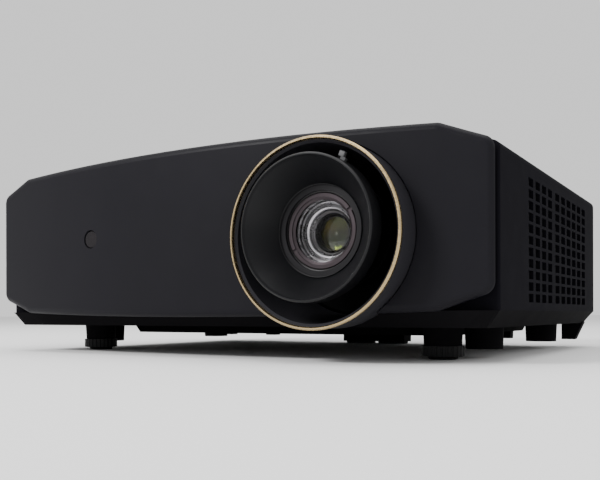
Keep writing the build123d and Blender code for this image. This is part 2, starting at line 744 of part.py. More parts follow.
slide_r = barrel_bore_r - turn_clearance
front_cell = lens_turned([
    (1.2, retainer_r), (1.2, slide_r), (32.0, slide_r), (32.0, 14.0), (24.8, 14.0), (24.8, 12.6), (20.4, 12.6),
    (20.4, pupil_r), (18.4, pupil_r), (15.0, 13.2), (14.0, 13.2), (12.0, 16.2), (10.8, 16.2), (10.8, element_r),
    (3.2, element_r), (3.2, retainer_r),
])
save(front_cell, "front_cell")
retainer = lens_turned([
    (0.7, retainer_bore_r), (0.7, retainer_r - 0.6), (1.3, retainer_r), (3.2, retainer_r), (3.2, retainer_bore_r - 1.6),
    (2.4, retainer_bore_r - 1.6), (1.6, retainer_bore_r),
])
with BuildPart() as retainer_ring:
    add(retainer.part)
    for angle in (32.0, 212.0):
        add(spoke(angle, retainer_bore_r - 2, retainer_r + 1, 0.0, 1.6, 2.4).part, mode=Mode.SUBTRACT)
save(retainer_ring, "retainer_ring")


def element(name, y0, y1, radius, bulge_front, bulge_back):
    """A round lens element; a positive bulge stands out and a negative one is hollow."""
    with BuildPart() as glass:
        with BuildSketch(turning(ring_x, lens_z)):
            with BuildLine():
                for at, bulge in ((front + y0, -bulge_front), (front + y1, bulge_back)):
                    sphere = (radius**2 + bulge**2) / (2 * abs(bulge))
                    sag = abs(bulge) - sphere + (sphere**2 - radius**2 / 4) ** 0.5
                    ThreePointArc((at + bulge, 0), (at + (sag if bulge > 0 else -sag), radius / 2), (at, radius))
                Line((front + y0, radius), (front + y1, radius))
                Line((front + y0 - bulge_front, 0), (front + y1 + bulge_back, 0))
            make_face()
        revolve(axis=Axis((ring_x, 0, lens_z), (0, 1, 0)))
    save(glass, name)


element("front_element", 5.2, 9.0, element_r, 1.6, -1.2)
element("second_element", 21.0, 24.6, 12.6, 1.2, 1.0)

zoom_front, zoom_back = 42.0, 64.0
zoom_cell = lens_turned([
    (zoom_front, 17.6), (zoom_front, slide_r), (zoom_back, slide_r), (zoom_back, 16.0), (zoom_front + 9, 16.0),
    (zoom_front + 9, 18.4), (zoom_front + 2, 18.4), (zoom_front + 2, 17.6),
])
save(zoom_cell, "zoom_cell")
element("zoom_element", zoom_front + 3.5, zoom_front + 8.5, 18.4, 1.2, 0.4)
element("rear_element", 76.0, 82.8, barrel_bore_r, 1.4, 1.2)

# ---------------------------------------------------------------- shift dials under the top recess
for word, way in (("rise_dial", -1), ("side_dial", 1)):
    x = ring_x + way * dial_spread
    with BuildPart() as dial:
        with BuildSketch(Plane.XY.offset(dial_bay_floor + 0.3)):
            with Locations((x, dial_bay_y)):
                Circle(dial_r)
                with PolarLocations(dial_r + 0.3, 20):
                    Circle(0.9, mode=Mode.SUBTRACT)
        extrude(amount=6.0)
        with BuildSketch(Plane.XY.offset(dial_bay_floor - 4.4)):
            with Locations((x, dial_bay_y)):
                Circle(3.3 - turn_clearance)
        extrude(amount=5.0)
    save(dial, word)

# ---------------------------------------------------------------- light engine
engine_y = (104.0, 172.0)
engine_x = (62.0, 142.0)
floor_z = base_z + base_wall           # inside floor of the pan, and of its well
well_floor = well_z + base_wall
engine_z = (well_floor, 124.0)
prism_floor = engine_z[0] + 12
prism_low = 64.0
with BuildPart() as engine_housing:
    add(slab(*engine_x, *engine_y, *engine_z))
    add(slab(engine_x[0] + 4, engine_x[1] - 4, engine_y[0] + 4, engine_y[1] - 4, prism_floor, engine_z[1] - 4),
        mode=Mode.SUBTRACT)
    add(slab(78, 124, 112, 148, prism_floor - 1, prism_low))
    add(turned([(engine_y[0] - 1, 0), (engine_y[0] - 1, 30), (engine_y[0] + 6, 30), (engine_y[0] + 6, 0)], ring_x,
               lens_z).part, mode=Mode.SUBTRACT)
    add(slab(engine_x[0] - 1, engine_x[0] + 6, 118, 138, 70, 90), mode=Mode.SUBTRACT)
save(engine_housing, "engine_housing")

with BuildPart() as relay_prism:
    with BuildSketch(Plane.XY.offset(prism_low)):
        with BuildLine():
            Polyline((84, front + 114), (122, front + 114), (122, front + 146), (84, front + 146), (70, front + 128),
                     close=True)
        make_face()
    extrude(amount=32)
save(relay_prism, "relay_prism")
with BuildPart() as imaging_chip:
    add(slab(86, 118, 162, 168, 68, 92))
    add(slab(91, 113, 160.6, 162, 72.5, 87.5))
save(imaging_chip, "imaging_chip")


fin = 1.0
with BuildPart() as chip_heatsink:
    add(slab(78, 126, engine_y[1], engine_y[1] + 4, 52, 108))
    for index in range(13):
        at = 78 + fin / 2 + (48 - fin) * index / 12
        add(slab(at - fin / 2, at + fin / 2, engine_y[1] + 4, 198, 52, 108))
save(chip_heatsink, "chip_heatsink")

path_y, path_z = 128.0, 80.0
with BuildPart() as light_tunnel:
    add(slab(20, engine_x[0] + 4, path_y - 7, path_y + 7, path_z - 7, path_z + 7))
    add(slab(19, engine_x[0] + 5, path_y - 4, path_y + 4, path_z - 4, path_z + 4), mode=Mode.SUBTRACT)
    add(slab(30, 46, path_y - 6, path_y + 6, well_floor, path_z - 7))
save(light_tunnel, "light_tunnel")


def along_x(points, y, z):
    """A solid of revolution round an axis along X, from (x, radius) points."""
    with BuildPart() as solid:
        with BuildSketch(Plane(origin=(0, front + y, z), x_dir=(1, 0, 0), z_dir=(0, -1, 0))):
            with BuildLine():
                Polyline(points, close=True)
            make_face()
        revolve(axis=Axis((0, front + y, z), (1, 0, 0)))
    return solid


wheels = {"colour_wheel": (12.0, 26.0, 19.0), "phosphor_wheel": (-36.0, 29.0, 21.0)}
for name, (x, radius, drop) in wheels.items():
    disc = along_x([(x, 2.0), (x, radius), (x + 1.2, radius), (x + 1.2, 8), (x + 3, 8), (x + 3, 2.0)], path_y,
                   path_z - drop)
    save(disc, name)

with BuildPart() as wheel_motors:
    for x, radius, drop in wheels.values():
        pin = 2.0 - turn_clearance
        add(along_x([(x - 13, 0), (x - 13, 11), (x - 0.6, 11), (x - 0.6, pin), (x + 3, pin), (x + 3, 0)], path_y,
                    path_z - drop).part)
        add(slab(x - 12, x - 4, path_y - 8, path_y + 8, well_floor, path_z - drop - 6))
save(wheel_motors, "wheel_motors")

with BuildPart() as laser_bank:
    add(slab(-84, -60, path_y - 26, path_y + 26, 54, 106))
    with BuildSketch(Plane.YZ.offset(-60)):
        with Locations((front + path_y, path_z)):
            with GridLocations(12, 12, 4, 4):
                Circle(4.0)
    extrude(amount=3.0)
    add(slab(-80, -64, path_y - 20, path_y + 20, well_floor, 54))
save(laser_bank, "laser_bank")
with BuildPart() as laser_heatsink:
    add(slab(-89, -84, path_y - 40, path_y + 40, 40, 120))
    for index in range(21):
        at = 40 + fin / 2 + (80 - fin) * index / 20
        add(slab(-150, -89, path_y - 40, path_y + 40, at - fin / 2, at + fin / 2))
save(laser_heatsink, "laser_heatsink")

# ---------------------------------------------------------------- fans
fan_depth = 25.0
fan_size = 80.0
fan_z = floor_z + fan_size / 2
fan_bore, fan_hub = fan_size / 2 - 2.5, fan_size * 0.2
pin_r = 1.5
exhaust_x = 11.5 - half_width
intake_x = half_width - 38.5
fan_places = {
    "exhaust_front_rotor": (exhaust_x, 122.0), "exhaust_rear_rotor": (exhaust_x, 228.0),
    "intake_rotor": (intake_x, 236.0),
}


def fan_frame(x, y):
    """A square fan frame with its hub on three arms and the rotor's pin."""
    with BuildPart() as frame:
        with Locations(Location((x + fan_depth / 2, front + y, fan_z), (0, 90, 0))):
            Box(fan_size, fan_size, fan_depth)
            Cylinder(fan_bore, fan_depth + 1, mode=Mode.SUBTRACT)
        with Locations(Location((x + 2.0, front + y, fan_z), (0, 90, 0))):
            Cylinder(fan_hub, 4.0)
            with PolarLocations((fan_hub + fan_bore) / 2, 3, start_angle=30):
                Box(fan_bore - fan_hub + 4, 4.0, 4.0)
        with Locations(Location((x + 12, front + y, fan_z), (0, 90, 0))):
            Cylinder(pin_r, 16.0)
    return frame.part


for name, (x, y) in fan_places.items():
    with BuildPart() as rotor:
        with Locations(Location((x + 14.0, front + y, fan_z), (0, 90, 0))):
            Cylinder(fan_hub, 18.0)
            with PolarLocations((fan_hub + fan_bore - 1.0) / 2, 7):
                Box(fan_bore - fan_hub, 1.4, 17.0, rotation=(34, 0, 0))
        with Locations(Location((x + 12.0, front + y, fan_z), (0, 90, 0))):
            Cylinder(pin_r + turn_clearance, 18.0, mode=Mode.SUBTRACT)
    save(rotor, name)
with BuildPart() as fan_frames:
    for x, y in fan_places.values():
        add(fan_frame(x, y))
save(fan_frames, "fan_frames")

# ---------------------------------------------------------------- electronics
supply_z = floor_z + 8
with BuildPart() as power_supply:
    for x, y, low in ((-155, 200, floor_z), (-40, 200, well_floor), (-155, 292, floor_z), (-40, 288, well_floor)):
        add(slab(x - 4, x + 4, y - 4, y + 4, low, supply_z))
    add(slab(-162, -32, 192, 300, supply_z, supply_z + board_thick))
    for x0, x1, y0, y1, high in ((-120, -84, 220, 250, 32), (-70, -46, 205, 228, 22), (-128, -50, 262, 266, 34),
                                 (-128, -50, 282, 286, 34)):
        add(slab(x0, x1, y0, y1, supply_z + board_thick, supply_z + high))
    with BuildSketch(Plane.XY.offset(supply_z + board_thick)):
        with Locations((-140, front + 212), (-140, front + 236), (-60, front + 246), (-142, front + 264)):
            Circle(9.0)
    extrude(amount=34)
save(power_supply, "power_supply")

panel_inside = panel_depth - panel_wall
switch_face = 2.8          # the key switches' tips, behind the rear panel's inner face
with BuildPart() as circuit_boards:
    for x, y, low in ((-4, 212, well_floor), (140, 212, well_floor), (-4, 304, floor_z), (140, 304, floor_z)):
        add(slab(x - 3.5, x + 3.5, y - 3.5, y + 3.5, low, board_top - board_thick))
    add(slab(-30, 148, 206, panel_inside - 0.4, board_top - board_thick, board_top))
    for x, y, wide, high in ((30, 236, 34, 4), (80, 230, 27, 3), (112, 252, 18, 2), (20, 276, 14, 2), (60, 270, 22, 2)):
        add(slab(x - wide / 2, x + wide / 2, y - wide / 2, y + wide / 2, board_top, board_top + high))
    add(slab(pad_x - 58, pad_x + 48, panel_inside - 8.0, panel_inside - 6.4, pad_z - 20, pad_z + 20))
    for x, z, radius in buttons.values():
        add(slab(x - 2.5, x + 2.5, panel_inside - 6.4, panel_inside - switch_face, z - 2.5, z + 2.5))
save(circuit_boards, "circuit_boards")
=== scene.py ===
"""A home projector's looks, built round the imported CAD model. Metres, Z up, the lens looks along -Y."""
import bmesh
import bpy
from math import cos, pi, radians, sin
from mathutils import Matrix, Vector


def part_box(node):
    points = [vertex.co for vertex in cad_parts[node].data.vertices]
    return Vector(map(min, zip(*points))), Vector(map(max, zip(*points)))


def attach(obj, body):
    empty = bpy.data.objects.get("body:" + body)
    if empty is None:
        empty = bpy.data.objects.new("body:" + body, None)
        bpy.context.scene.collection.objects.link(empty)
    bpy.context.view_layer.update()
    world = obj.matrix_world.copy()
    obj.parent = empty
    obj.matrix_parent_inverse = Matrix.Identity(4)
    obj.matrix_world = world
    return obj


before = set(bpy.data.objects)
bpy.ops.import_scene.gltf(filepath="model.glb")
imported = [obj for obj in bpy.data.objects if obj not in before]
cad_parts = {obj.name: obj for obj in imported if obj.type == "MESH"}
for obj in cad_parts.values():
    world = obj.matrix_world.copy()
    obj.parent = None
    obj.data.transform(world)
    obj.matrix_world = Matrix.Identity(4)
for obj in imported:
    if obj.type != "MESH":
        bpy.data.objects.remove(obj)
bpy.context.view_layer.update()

MM = 0.001


# ------------------------------------------------------------------ places read from the frame
def middle(node):
    """The middle of a node's box at rest."""
    low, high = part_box(node)
    return (Vector(low) + Vector(high)) / 2


front_y = Vector(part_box("front_fascia")[0]).y             # the fascia's front middle
panel_y = Vector(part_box("rear_panel")[1]).y               # the rear panel's outer face
board_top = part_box("board_sockets")[0][2]                 # the board that the sockets stand on
lens_axis = middle("lens_barrel")


# ------------------------------------------------------------------ node helpers
class Shade:
    """A material being built: a Principled shader with short calls for the usual node chains."""

    def __init__(self, name, colour, rough, **inputs):
        self.material = bpy.data.materials.new(name)
        self.material.use_nodes = True
        self.tree = self.material.node_tree
        self.shader = self.tree.nodes["Principled BSDF"]
        self.shader.inputs["Base Color"].default_value = (*colour, 1.0)
        self.shader.inputs["Roughness"].default_value = rough
        for key, value in inputs.items():
            self.shader.inputs[key.replace("_", " ")].default_value = value
        self.colour, self.rough = colour, rough
        self.normal = None

    def node(self, kind, **values):
        made = self.tree.nodes.new(kind)
        for key, value in values.items():
            if hasattr(made, key):
                setattr(made, key, value)
            else:
                made.inputs[key.replace("_", " ")].default_value = value
        return made

    def link(self, source, target):
        self.tree.links.new(source, target)

    def place(self):
        """Positions in the object's own metres."""
        return self.node("ShaderNodeTexCoord").outputs["Object"]

    def noise(self, scale, detail=3.0, stretch=None, roughness=0.55):
        made = self.node("ShaderNodeTexNoise", Scale=scale, Detail=detail, Roughness=roughness)
        where = self.place()
        if stretch:
            mapping = self.node("ShaderNodeMapping", Scale=stretch)
            self.link(where, mapping.inputs["Vector"])
            where = mapping.outputs["Vector"]
        self.link(where, made.inputs["Vector"])
        return made.outputs["Fac"]

    def ramp(self, value, low, high, from_low=0.35, from_high=0.65):
        """The value spread from low to high."""
        made = self.node("ShaderNodeMapRange")
        ends = {"From Min": from_low, "From Max": from_high, "To Min": low, "To Max": high}
        for socket, number in ends.items():
            made.inputs[socket].default_value = number
        self.link(value, made.inputs["Value"])
        return made.outputs["Result"]

    def tint(self, value, other, low=0.35, high=0.65):
        """The base colour runs from its own to another as value goes from low to high."""
        made = self.node("ShaderNodeMix", data_type="RGBA")
        self.link(self.ramp(value, 0.0, 1.0, low, high), made.inputs["Factor"])
        colours = [socket for socket in made.inputs if socket.type == "RGBA"]
        colours[0].default_value = (*self.colour, 1.0)
        colours[1].default_value = (*other, 1.0)
        result = [socket for socket in made.outputs if socket.type == "RGBA"][0]
        self.link(result, self.shader.inputs["Base Color"])
        return self

    def wander(self, value, spread):
        """The roughness varies by spread either way."""
        self.link(self.ramp(value, self.rough - spread, self.rough + spread), self.shader.inputs["Roughness"])
        return self

    def bump(self, value, height, strength=1.0):
        """Relief of the given height in metres, on top of any relief already there."""
        made = self.node("ShaderNodeBump", Strength=strength, Distance=height)
        self.link(value, made.inputs["Height"])
        if self.normal:
            self.link(self.normal, made.inputs["Normal"])
        self.normal = made.outputs["Normal"]
        self.link(self.normal, self.shader.inputs["Normal"])
        return self

    def radius(self, centre):
        """Distance from the axis along Y through centre."""
        where = self.node("ShaderNodeMapping", vector_type="POINT")
        where.inputs["Location"].default_value = (-centre.x, 0.0, -centre.z)
        where.inputs["Scale"].default_value = (1.0, 0.0, 1.0)
        self.link(self.place(), where.inputs["Vector"])
        length = self.node("ShaderNodeVectorMath", operation="LENGTH")
        self.link(where.outputs["Vector"], length.inputs[0])
        return length.outputs["Value"]

    def rings(self, centre, pitch, height):
        """Fine turned grooves round an axis along Y through centre."""
        turns = self.node("ShaderNodeMath", operation="MULTIPLY")
        turns.inputs[1].default_value = 2 * pi / pitch
        self.link(self.radius(centre), turns.inputs[0])
        wave = self.node("ShaderNodeMath", operation="SINE")
        self.link(turns.outputs["Value"], wave.inputs[0])
        return self.bump(wave.outputs["Value"], height)


CLOUDING = 1.08                # how much lighter the clouded spots of a moulding are
STREAKS = 0.86                 # how much darker the streaks in a metal are


def moulded(name, colour, rough, grain, height, level):
    """Injection-moulded plastic: a grain of some pitch and height in mm, faint clouding and uneven gloss."""
    made = Shade(name, colour, rough, Specular_IOR_Level=level)
    made.tint(made.noise(14.0, 4.0), tuple(channel * CLOUDING for channel in colour))
    made.wander(made.noise(55.0, 4.0), 0.02)
    made.bump(made.noise(1000.0 / grain, 2.0), height * MM)
    return made


def metal(name, colour, rough, brushed=None, height=0.01):
    """Bare or plated metal, brushed along the axis that the stretch leaves long."""
    made = Shade(name, colour, rough, Metallic=1.0)
    grain = made.noise(900.0, 3.0, brushed or (1.0, 1.0, 1.0))
    made.wander(grain, 0.08)
    made.tint(made.noise(30.0, 3.0), tuple(channel * STREAKS for channel in colour))
    made.bump(grain, height * MM)
    return made


def glass(name, colour, coat, ior=1.6, coat_weight=0.6):
    """Optical glass with an anti-reflection coating, so it mirrors far less than bare glass."""
    made = Shade(
        name, colour, 0.01, Transmission_Weight=1.0, IOR=ior, Coat_Weight=coat_weight, Coat_Roughness=0.02,
        Specular_IOR_Level=0.08,
    )
    made.shader.inputs["Coat Tint"].default_value = (*coat, 1.0)
    made.bump(made.noise(60.0, 2.0), 0.001 * MM, 0.2)
    return made


def paint(node, shade):
    """Gives a CAD node one material in all its slots."""
    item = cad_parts[node]
    if not item.material_slots:
        item.data.materials.append(shade.material)
    for slot in item.material_slots:
        slot.material = shade.material


# ------------------------------------------------------------------ materials
CELL_INNER, CELL_OUTER = 10.0 * MM, 20.0 * MM
# the turned steps inside the front cell: how far out between those two radii, and how bright; the bright
# steps are painted reflections of the lens's concentric rings, the dark ones blackened metal
CELL_STEPS = (
    (0.0, 0.02), (0.22, 0.02), (0.26, 0.42), (0.33, 0.42), (0.37, 0.06), (0.46, 0.06), (0.50, 0.55),
    (0.57, 0.55), (0.61, 0.10), (0.72, 0.10), (0.76, 0.35), (0.86, 0.35), (0.90, 0.03), (1.0, 0.03),
)
shades = {
    "fascia": moulded("fascia_satin_plastic", (0.0078, 0.0074, 0.0096), 0.42, 0.30, 0.006, 0.08),
    "cover": moulded("cover_textured_plastic", (0.0058, 0.0055, 0.0074), 0.6, 0.55, 0.03, 0.006),
    "grille": moulded("grille_plastic", (0.0060, 0.0057, 0.0078), 0.6, 0.5, 0.02, 0.006),
    "base": moulded("base_plastic", (0.0055, 0.0052, 0.0058), 0.65, 0.6, 0.04, 0.008),
    "panel": moulded("rear_panel_plastic", (0.0070, 0.0071, 0.0080), 0.55, 0.5, 0.04, 0.18),
    "surround": moulded("surround_plastic", (0.0200, 0.0194, 0.0228), 0.42, 0.3, 0.008, 0.16),
    "hood": moulded("hood_plastic", (0.0052, 0.0053, 0.0062), 0.38, 0.3, 0.006, 0.22),
    "barrel": moulded("barrel_plastic", (0.0085, 0.0080, 0.0092), 0.40, 0.3, 0.006, 0.16),
    "inside": moulded("inside_plastic", (0.0020, 0.0020, 0.0022), 0.7, 0.5, 0.02, 0.06),
    "knob": moulded("knob_plastic", (0.0035, 0.0035, 0.0040), 0.42, 0.5, 0.03, 0.14),
    "rubber": moulded("rubber", (0.007, 0.007, 0.007), 0.8, 0.7, 0.08, 0.12),
    "button": moulded("button_plastic", (0.016, 0.016, 0.018), 0.45, 0.4, 0.01, 0.3),
    "socket_black": moulded("socket_plastic", (0.007, 0.007, 0.007), 0.35, 0.5, 0.01, 0.35),
    "dial": moulded("dial_plastic", (0.010, 0.010, 0.011), 0.62, 0.4, 0.02, 0.06),
    "fan": moulded("fan_plastic", (0.006, 0.006, 0.006), 0.5, 0.6, 0.03, 0.2),
    "tab": moulded("tab_plastic", (0.045, 0.045, 0.048), 0.45, 0.3, 0.01, 0.35),
    "lever": moulded("lever_plastic", (0.13, 0.13, 0.135), 0.45, 0.3, 0.01, 0.35),
    "ivory": moulded("contact_carrier", (0.42, 0.41, 0.37), 0.5, 0.3, 0.01, 0.35),
    "gold": metal("champagne_trim", (0.50, 0.38, 0.205), 0.30, None, 0.0),
    "brass": metal("turned_brass", (0.72, 0.53, 0.22), 0.32),
    "steel": metal("nickel_plate", (0.62, 0.61, 0.58), 0.3, (0.1, 1.0, 1.0)),
    "contact": metal("gold_flash", (0.85, 0.62, 0.25), 0.22),
    "screw": metal("black_oxide", (0.035, 0.035, 0.04), 0.4),
    "aluminium": metal("extruded_aluminium", (0.62, 0.63, 0.65), 0.38, (1.0, 0.05, 0.05)),
    "cast": metal("die_casting", (0.23, 0.23, 0.24), 0.5),
    "retainer": metal("retainer_anodised", (0.052, 0.043, 0.047), 0.42, None, 0.0),
    "gold_block": metal("plated_block", (0.70, 0.50, 0.20), 0.28),
    "front_glass": glass("front_glass", (0.97, 0.97, 0.98), (0.8, 0.7, 0.9), ior=1.14, coat_weight=0.02),
    "inner_glass": glass("inner_glass", (0.92, 0.97, 0.95), (0.4, 0.8, 0.6)),
}


def green_coating():
    """The deeper element: olive and amber by its coatings."""
    made = glass("green_coated_glass", (0.30, 0.42, 0.06), (0.7, 0.9, 0.3), ior=1.5, coat_weight=0.06)
    return made.tint(made.noise(70.0, 1.0), (0.60, 0.42, 0.08))


def cell_steps_and_painted_reflections():
    """The stepped inside of the front lens cell: turned steps, some blackened, and some painted bright as the
    lens's concentric reflections.
    """
    made = Shade("cell_rings_with_painted_reflections", (0.20, 0.195, 0.20), 0.28, Metallic=0.85)
    steps = made.node("ShaderNodeValToRGB")
    made.link(made.ramp(made.radius(lens_axis), 0.0, 1.0, CELL_INNER, CELL_OUTER), steps.inputs["Fac"])
    ramp = steps.color_ramp
    ramp.elements.remove(ramp.elements[-1])
    # the bright levels paint in the lens's concentric reflections
    for place, level in CELL_STEPS:
        stop = ramp.elements.new(place) if place else ramp.elements[0]
        stop.color = (level, level * 0.975, level * 0.99, 1.0)
    made.link(steps.outputs["Color"], made.shader.inputs["Base Color"])
    made.wander(made.noise(120.0, 3.0), 0.05)
    return made.rings(lens_axis, 2.7 * MM, 0.11 * MM)


def circuit_board():
    """Solder mask over faint tracks."""
    made = Shade("circuit_board", (0.012, 0.055, 0.022), 0.35)
    made.tint(made.noise(300.0, 1.0, (1.0, 8.0, 1.0)), (0.03, 0.11, 0.05), 0.5, 0.55)
    made.bump(made.noise(700.0, 1.0), 0.02 * MM)
    return made


def foam():
    """Open-cell dust filter."""
    made = Shade("filter_foam", (0.006, 0.006, 0.0062), 0.9, Specular_IOR_Level=0.1)
    made.tint(made.noise(800.0, 2.0), (0.016, 0.016, 0.017))
    return made.bump(made.noise(700.0, 3.0), 0.5 * MM)


def woven_mesh():
    """Fine woven wire behind the exhaust slots."""
    made = Shade("woven_mesh", (0.010, 0.010, 0.011), 0.5, Metallic=0.6)
    for direction in ("Y", "Z"):
        wave = made.node("ShaderNodeTexWave", wave_type="BANDS", bands_direction=direction, Scale=260.0)
        made.link(made.place(), wave.inputs["Vector"])
        made.bump(wave.outputs["Fac"], 0.2 * MM)
    return made


def infrared_window():
    """Very dark gloss plastic that passes infrared."""
    made = Shade("infrared_window", (0.0075, 0.0066, 0.0078), 0.22, Specular_IOR_Level=0.22)
    made.tint(made.noise(60.0, 2.0), (0.0090, 0.0072, 0.0086))
    return made.bump(made.noise(200.0, 2.0), 0.002 * MM)


def light_pipe():
    """Clear acrylic, frosted at its end."""
    made = Shade("light_pipe", (0.75, 0.8, 0.8), 0.35, Transmission_Weight=0.6, IOR=1.49)
    return made.bump(made.noise(2500.0, 2.0), 0.01 * MM)


def dichroic():
    """Coated wheel glass: warm and cool bands of reflection."""
    made = Shade("dichroic_wheel", (0.75, 0.55, 0.2), 0.12, Metallic=0.9)
    return made.tint(made.noise(40.0, 1.0), (0.25, 0.5, 0.75))


plain_paint = {
    "socket_black": tuple(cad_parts),          # the jacks and the mains inlet are left with this one
    "fascia": ("front_fascia",), "cover": ("top_cover",), "grille": ("side_grilles",), "base": ("base_pan",),
    "panel": ("rear_panel",), "surround": ("lens_surround",), "hood": ("focus_hood", "zoom_cell"),
    "inside": ("light_shield", "zoom_ring", "shift_guide", "rise_frame"), "barrel": ("lens_barrel",),
    "knob": ("left_foot_wheel", "right_foot_wheel"),
    "rubber": ("left_foot_pad", "right_foot_pad", "rear_foot_pads"),
    "button": tuple(f"{word}_button" for word in ("up", "down", "left", "right", "enter", "power")),
    "dial": ("rise_dial", "side_dial"), "tab": ("focus_tab",), "gold": ("gold_trim_ring",),
    "brass": ("threaded_inserts",), "steel": ("board_sockets", "inlet_pins", "light_tunnel"),
    "screw": ("panel_screws",), "aluminium": ("chip_heatsink", "laser_heatsink", "wheel_motors"),
    "cast": ("engine_housing",), "retainer": ("retainer_ring",), "gold_block": ("laser_bank", "imaging_chip"),
    "front_glass": ("front_element",),
    "inner_glass": ("zoom_element", "rear_element", "relay_prism"),
    "fan": ("fan_frames", "exhaust_front_rotor", "exhaust_rear_rotor", "intake_rotor"),
}
special_paint = {
    "front_cell": cell_steps_and_painted_reflections, "second_element": green_coating, "circuit_boards": circuit_board,
    "power_supply": circuit_board, "intake_filter": foam, "exhaust_mesh": woven_mesh,
    "ir_window": infrared_window, "light_pipes": light_pipe, "colour_wheel": dichroic,
    "phosphor_wheel": dichroic,
}
for shade, nodes in plain_paint.items():
    for node in nodes:
        paint(node, shades[shade])
for node, make in special_paint.items():
    paint(node, make())


# ------------------------------------------------------------------ new pieces
SMOOTH_UP_TO = radians(32)     # a sharper bend between two faces stays an edge


def turned_piece(name, centre, profile, body, shade, steps=192, closed=True):
    """A ring or disc of revolution round an axis along Y, from (y, radius) points, riding on a body."""
    mesh = bpy.data.meshes.new(name)
    build = bmesh.new()
    rows = []
    for index in range(steps):
        angle = 2 * pi * index / steps
        right, up = cos(angle), sin(angle)
        rows.append([build.verts.new((centre.x + r * right, y, centre.z + r * up)) for y, r in profile])
    count = len(profile)
    for index in range(steps):
        here, there = rows[index], rows[(index + 1) % steps]
        for point in range(count if closed else count - 1):
            after = (point + 1) % count
            build.faces.new((here[point], here[after], there[after], there[point]))
    bmesh.ops.remove_doubles(build, verts=build.verts, dist=1e-7)
    bmesh.ops.recalc_face_normals(build, faces=build.faces)
    build.to_mesh(mesh)
    build.free()
    return settle(mesh, name, body, shade)


def settle(mesh, name, body, shade):
    """Puts a finished mesh in the scene, smooth where it is round, riding on its body."""
    mesh.materials.append(shade.material)
    for polygon in mesh.polygons:
        polygon.use_smooth = True
    mesh.set_sharp_from_angle(angle=SMOOTH_UP_TO)
    piece = bpy.data.objects.new(name, mesh)
    bpy.context.scene.collection.objects.link(piece)
    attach(piece, body)
    return piece


def block_piece(name, low, high, body, shade, round_by):
    """A block between two corners with its edges rounded, riding on a body."""
    mesh = bpy.data.meshes.new(name)
    build = bmesh.new()
    bmesh.ops.create_cube(build, size=1.0)
    low, high = Vector(low), Vector(high)
    size = high - low
    bmesh.ops.scale(build, vec=size, verts=build.verts)
    bmesh.ops.translate(build, vec=(low + high) / 2, verts=build.verts)
    bmesh.ops.bevel(build, geom=list(build.edges), offset=round_by, segments=3, profile=0.5, affect="EDGES")
    build.to_mesh(mesh)
    build.free()
    return settle(mesh, name, body, shade)


def rod_piece(name, low, high, radius, body, shade, sides=20):
    """A pin along Y with tapered ends, from one point to another, round or with a few flat sides."""
    front, back = low[1], high[1]
    tip = min(radius * 0.5, (back - front) * 0.2)
    profile = [
        (front, 0.0), (front, radius - tip), (front + tip, radius),
        (back - tip, radius), (back, radius - tip), (back, 0.0),
    ]
    return turned_piece(name, Vector((low[0], 0.0, low[2])), profile, body, shade, sides, closed=False)


def turn_piece(piece, degrees_up, centre):
    """Turns a piece's mesh round the axis along Y through centre, from +X towards +Z."""
    turn = Matrix.Rotation(radians(-degrees_up), 4, "Y")
    piece.data.transform(Matrix.Translation(centre) @ turn @ Matrix.Translation(-centre))


def from_point(point, x, y, z):
    """The place at an offset in millimetres from a point in metres."""
    return point[0] + x * MM, point[1] + y * MM, point[2] + z * MM


# ------------------------------------------------------------------ lens: lever tip and hood thread
LEVER_ANGLE = 69.0             # the zoom lever, from +X towards +Z
# the lever tip's corners before it is turned to that angle, in mm from the lens axis at the fascia's front
LEVER_TIP = ((45.2, -5.6, -1.95), (48.7, -2.6, 1.95))
LEVER_ROUND = 0.5 * MM
THREAD_TURNS = 4
THREAD_PITCH = 0.55            # mm
THREAD_START = -2.7            # mm from the fascia's front middle, which is ahead of it
THREAD_SECTION = ((0.0, 28.2), (0.15, 27.9), (0.35, 27.9), (0.5, 28.2))     # mm: along the axis, and radius


def lens_details():
    """The lever's light tip, and the thread inside the hood's throat."""
    origin = (lens_axis.x, front_y, lens_axis.z)
    low, high = (from_point(origin, *corner) for corner in LEVER_TIP)
    tip = block_piece("lever_tip", low, high, "zoom", shades["lever"], LEVER_ROUND)
    turn_piece(tip, LEVER_ANGLE, lens_axis)
    for index in range(THREAD_TURNS):
        at = front_y + (THREAD_START + THREAD_PITCH * index) * MM
        profile = [(at + along * MM, radius * MM) for along, radius in THREAD_SECTION]
        turned_piece(f"hood_thread_{index}", lens_axis, profile, "focus", shades["hood"])


# ------------------------------------------------------------------ sockets: tongues, contacts and pins
SOCKET_FACE = panel_y + 0.4 * MM       # the sockets' faces stand just proud of the panel
VIDEO_X, VIDEO_HIGH = (118.0, 92.0), 3.1       # mm: across, and the socket's middle above the board
LAN_X, LAN_HIGH = 66.0, 6.6
USB_X, USB_HIGH = 42.0, 3.5
SERIAL_X, SERIAL_HIGH, SERIAL_PROUD = 8.0, 5.5, 4.6
JACK_X, JACK_HIGH = (-12.0, -22.0), 3.5


def socket_point(across, high):
    """The middle of a socket's mouth, from millimetres across and above the board."""
    return across * MM, SOCKET_FACE, board_top + high * MM


def tongue(name, mouth, half_wide, depths, heights, shade, round_by):
    """The tongue that carries a socket's contacts; depths and heights are measured from the mouth, in mm."""
    low = from_point(mouth, -half_wide, depths[0], heights[0])
    high = from_point(mouth, half_wide, depths[1], heights[1])
    block_piece(name, low, high, "chassis", shade, round_by * MM)


def contacts(name, mouth, count, pitch, half_wide, depths, heights, round_by):
    """A row of flat contacts, pitch apart in mm, across the mouth's middle."""
    for pin in range(count):
        across = (pin - (count - 1) / 2) * pitch
        low = from_point(mouth, across - half_wide, depths[0], heights[0])
        high = from_point(mouth, across + half_wide, depths[1], heights[1])
        block_piece(f"{name}_{pin}", low, high, "chassis", shades["contact"], round_by * MM)


